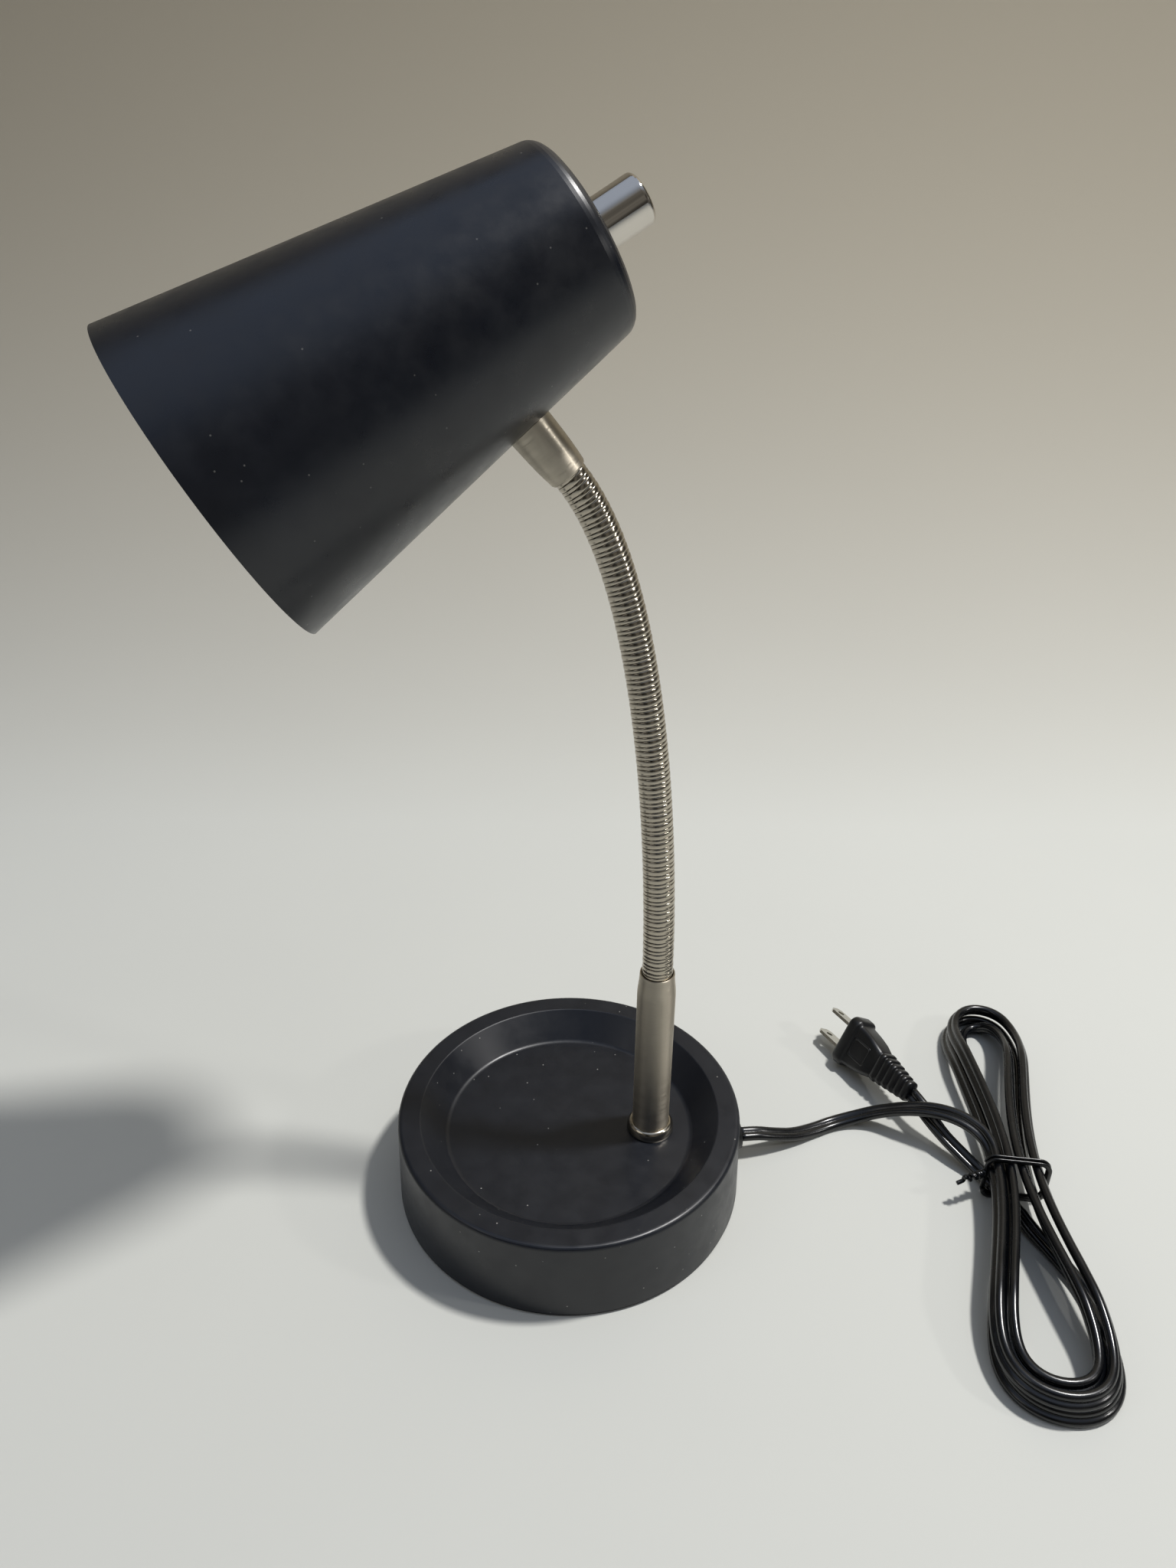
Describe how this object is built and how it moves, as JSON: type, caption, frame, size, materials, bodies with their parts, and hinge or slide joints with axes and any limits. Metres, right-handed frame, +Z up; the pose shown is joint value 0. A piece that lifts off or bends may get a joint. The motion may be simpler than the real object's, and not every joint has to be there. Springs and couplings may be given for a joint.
{
  "type": "gooseneck desk lamp",
  "caption": "Gooseneck desk lamp with a tray base, straight post, bendable wound neck, cone shade with a turn knob on its back, and a tied cord with a flat-blade plug.",
  "frame": {"origin": "centre of the underside of the base, on the surface that the lamp stands on", "axes": "+Z up, +X towards the back where the post stands and the cord leaves, -X the side that the shade faces, +Y away from the picture's camera"},
  "size_m": [0.3779, 0.2242, 0.4128],
  "materials": {
    "black_base_enamel": "satin black enamel",
    "black_shade_enamel": "satin black enamel",
    "brushed_nickel": "brushed nickel plate",
    "gooseneck_nickel": "satin nickel winding",
    "bright_chrome": "bright chrome plate",
    "zinc_steel": "zinc plated steel",
    "cast_iron": "rough casting",
    "brass": "plain brass",
    "shell_aluminium": "drawn aluminium",
    "black_phenolic": "moulded phenolic, slight gloss",
    "foam_pad": "matt soft pad",
    "black_cord": "flexible black PVC, slight gloss",
    "black_plug": "moulded black PVC",
    "tie_plastic": "black coated wire tie",
    "plug_blade_metal": "nickel plated brass",
    "lead_insulation": "white wire insulation",
    "cap_plastic": "dark wire connectors"
  },
  "bodies": {
    "base": {"base_shell": "black_base_enamel", "foot_pad": "foam_pad", "bottom_plate": "zinc_steel", "plate_screws": "zinc_steel", "base_weight": "cast_iron", "cord_bushing": "black_plug", "cord_inner": "black_cord", "wire_caps": "cap_plastic", "post_tube": "brushed_nickel", "post_flange": "bright_chrome", "post_plug": "zinc_steel", "post_nipple": "brass", "post_washer": "zinc_steel", "post_nut": "zinc_steel", "post_leads": "lead_insulation", "cord_lead": "black_cord", "cord_hank": "black_cord", "cord_tail": "black_cord", "twist_tie": "tie_plastic", "plug_body": "black_plug", "plug_blades": "plug_blade_metal"},
    "neck_lower": {"neck_lower": "gooseneck_nickel"},
    "neck_middle": {"neck_middle": "gooseneck_nickel"},
    "head": {"neck_upper": "gooseneck_nickel", "head_sleeve": "brushed_nickel", "sleeve_washer": "zinc_steel", "sleeve_nut": "zinc_steel", "shade": "black_shade_enamel", "switch_housing": "black_phenolic", "switch_bush": "brass", "bush_nut": "zinc_steel", "lampholder": "black_phenolic", "screw_shell": "shell_aluminium", "centre_contact": "brass", "terminal_screws": "brass", "head_leads": "lead_insulation"},
    "knob": {"switch_shaft": "zinc_steel", "knob": "bright_chrome"}
  },
  "joints": [
    {"name": "neck_bend_low", "type": "hinge", "parent": "base", "child": "neck_lower", "pos_m": [0.03541, 0.00233, 0.14903], "axis": [0, 1, 0], "range_deg": [-35, 30], "deforming": ["neck_lower"]},
    {"name": "neck_bend_side", "type": "hinge", "parent": "neck_lower", "child": "neck_middle", "pos_m": [0.03008, 0.01399, 0.21604], "axis": [1, 0, 0], "range_deg": [-35, 35], "deforming": ["neck_middle"]},
    {"name": "neck_nod", "type": "hinge", "parent": "neck_middle", "child": "head", "pos_m": [0.01517, 0.02667, 0.28129], "axis": [-0.3173, 0.9483, 0], "range_deg": [-50, 40], "deforming": ["neck_upper"]},
    {"name": "knob_turn", "type": "hinge", "parent": "head", "child": "knob", "pos_m": [0.00445, 0.04114, 0.38566], "axis": [0.8262, 0.2764, 0.4909], "continuous": true}
  ]
}
